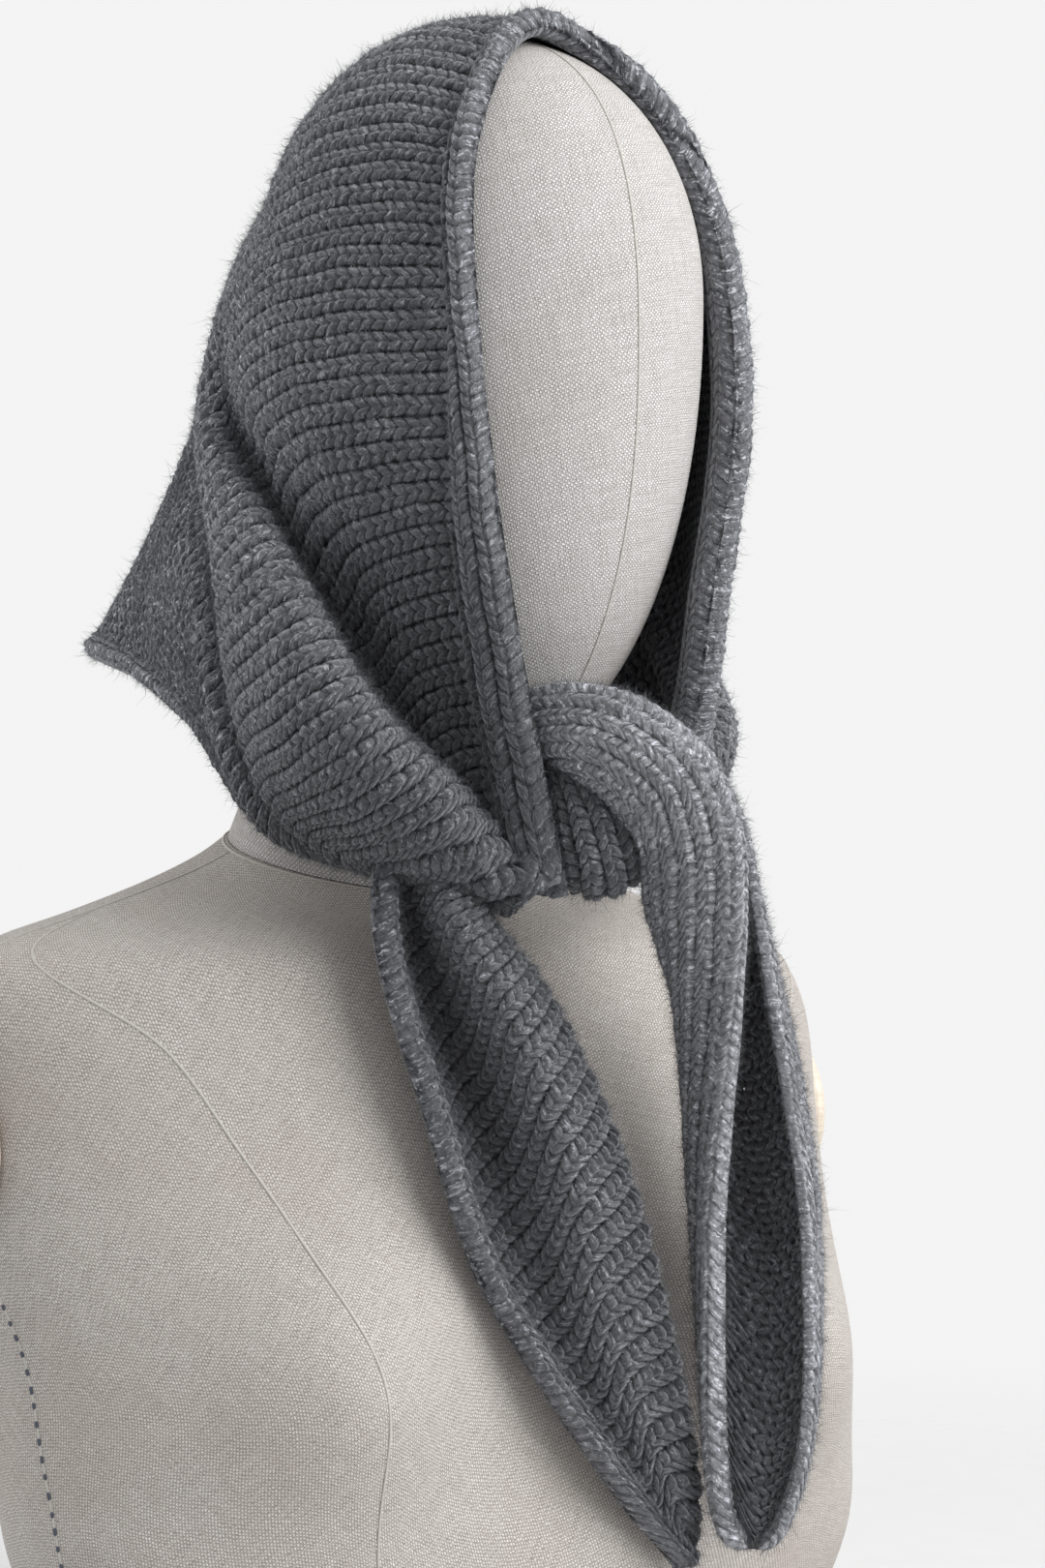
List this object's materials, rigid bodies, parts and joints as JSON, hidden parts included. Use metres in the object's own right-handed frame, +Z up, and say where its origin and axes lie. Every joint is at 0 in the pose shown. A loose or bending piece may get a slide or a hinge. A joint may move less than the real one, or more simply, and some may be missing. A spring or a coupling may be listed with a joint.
{
  "type": "knit bandana worn as a hood on a linen head and bust form with a base",
  "caption": "Chunky knit triangle bandana worn as a hood and tied under the chin, on a linen head and bust form that stands on a flat base plate.",
  "frame": {"origin": "centre of the base plate's flat underside", "axes": "+Z up, the face looks along -Y, the wearer's left is +X"},
  "size_m": [0.3946, 0.3145, 0.6407],
  "materials": {
    "knit": "fuzzy chunky rib knit, charcoal grey",
    "linen": "coarse plain weave, natural linen",
    "wood": "pale satin beech"
  },
  "bodies": {
    "root": {"hood": "knit", "tail_right": "knit", "tail_left": "knit", "knot_band": "knit", "knot_core": "knit", "head": "linen", "torso": "linen", "shoulder_cap_right": "wood", "shoulder_cap_left": "wood", "base": "wood"}
  },
  "joints": []
}
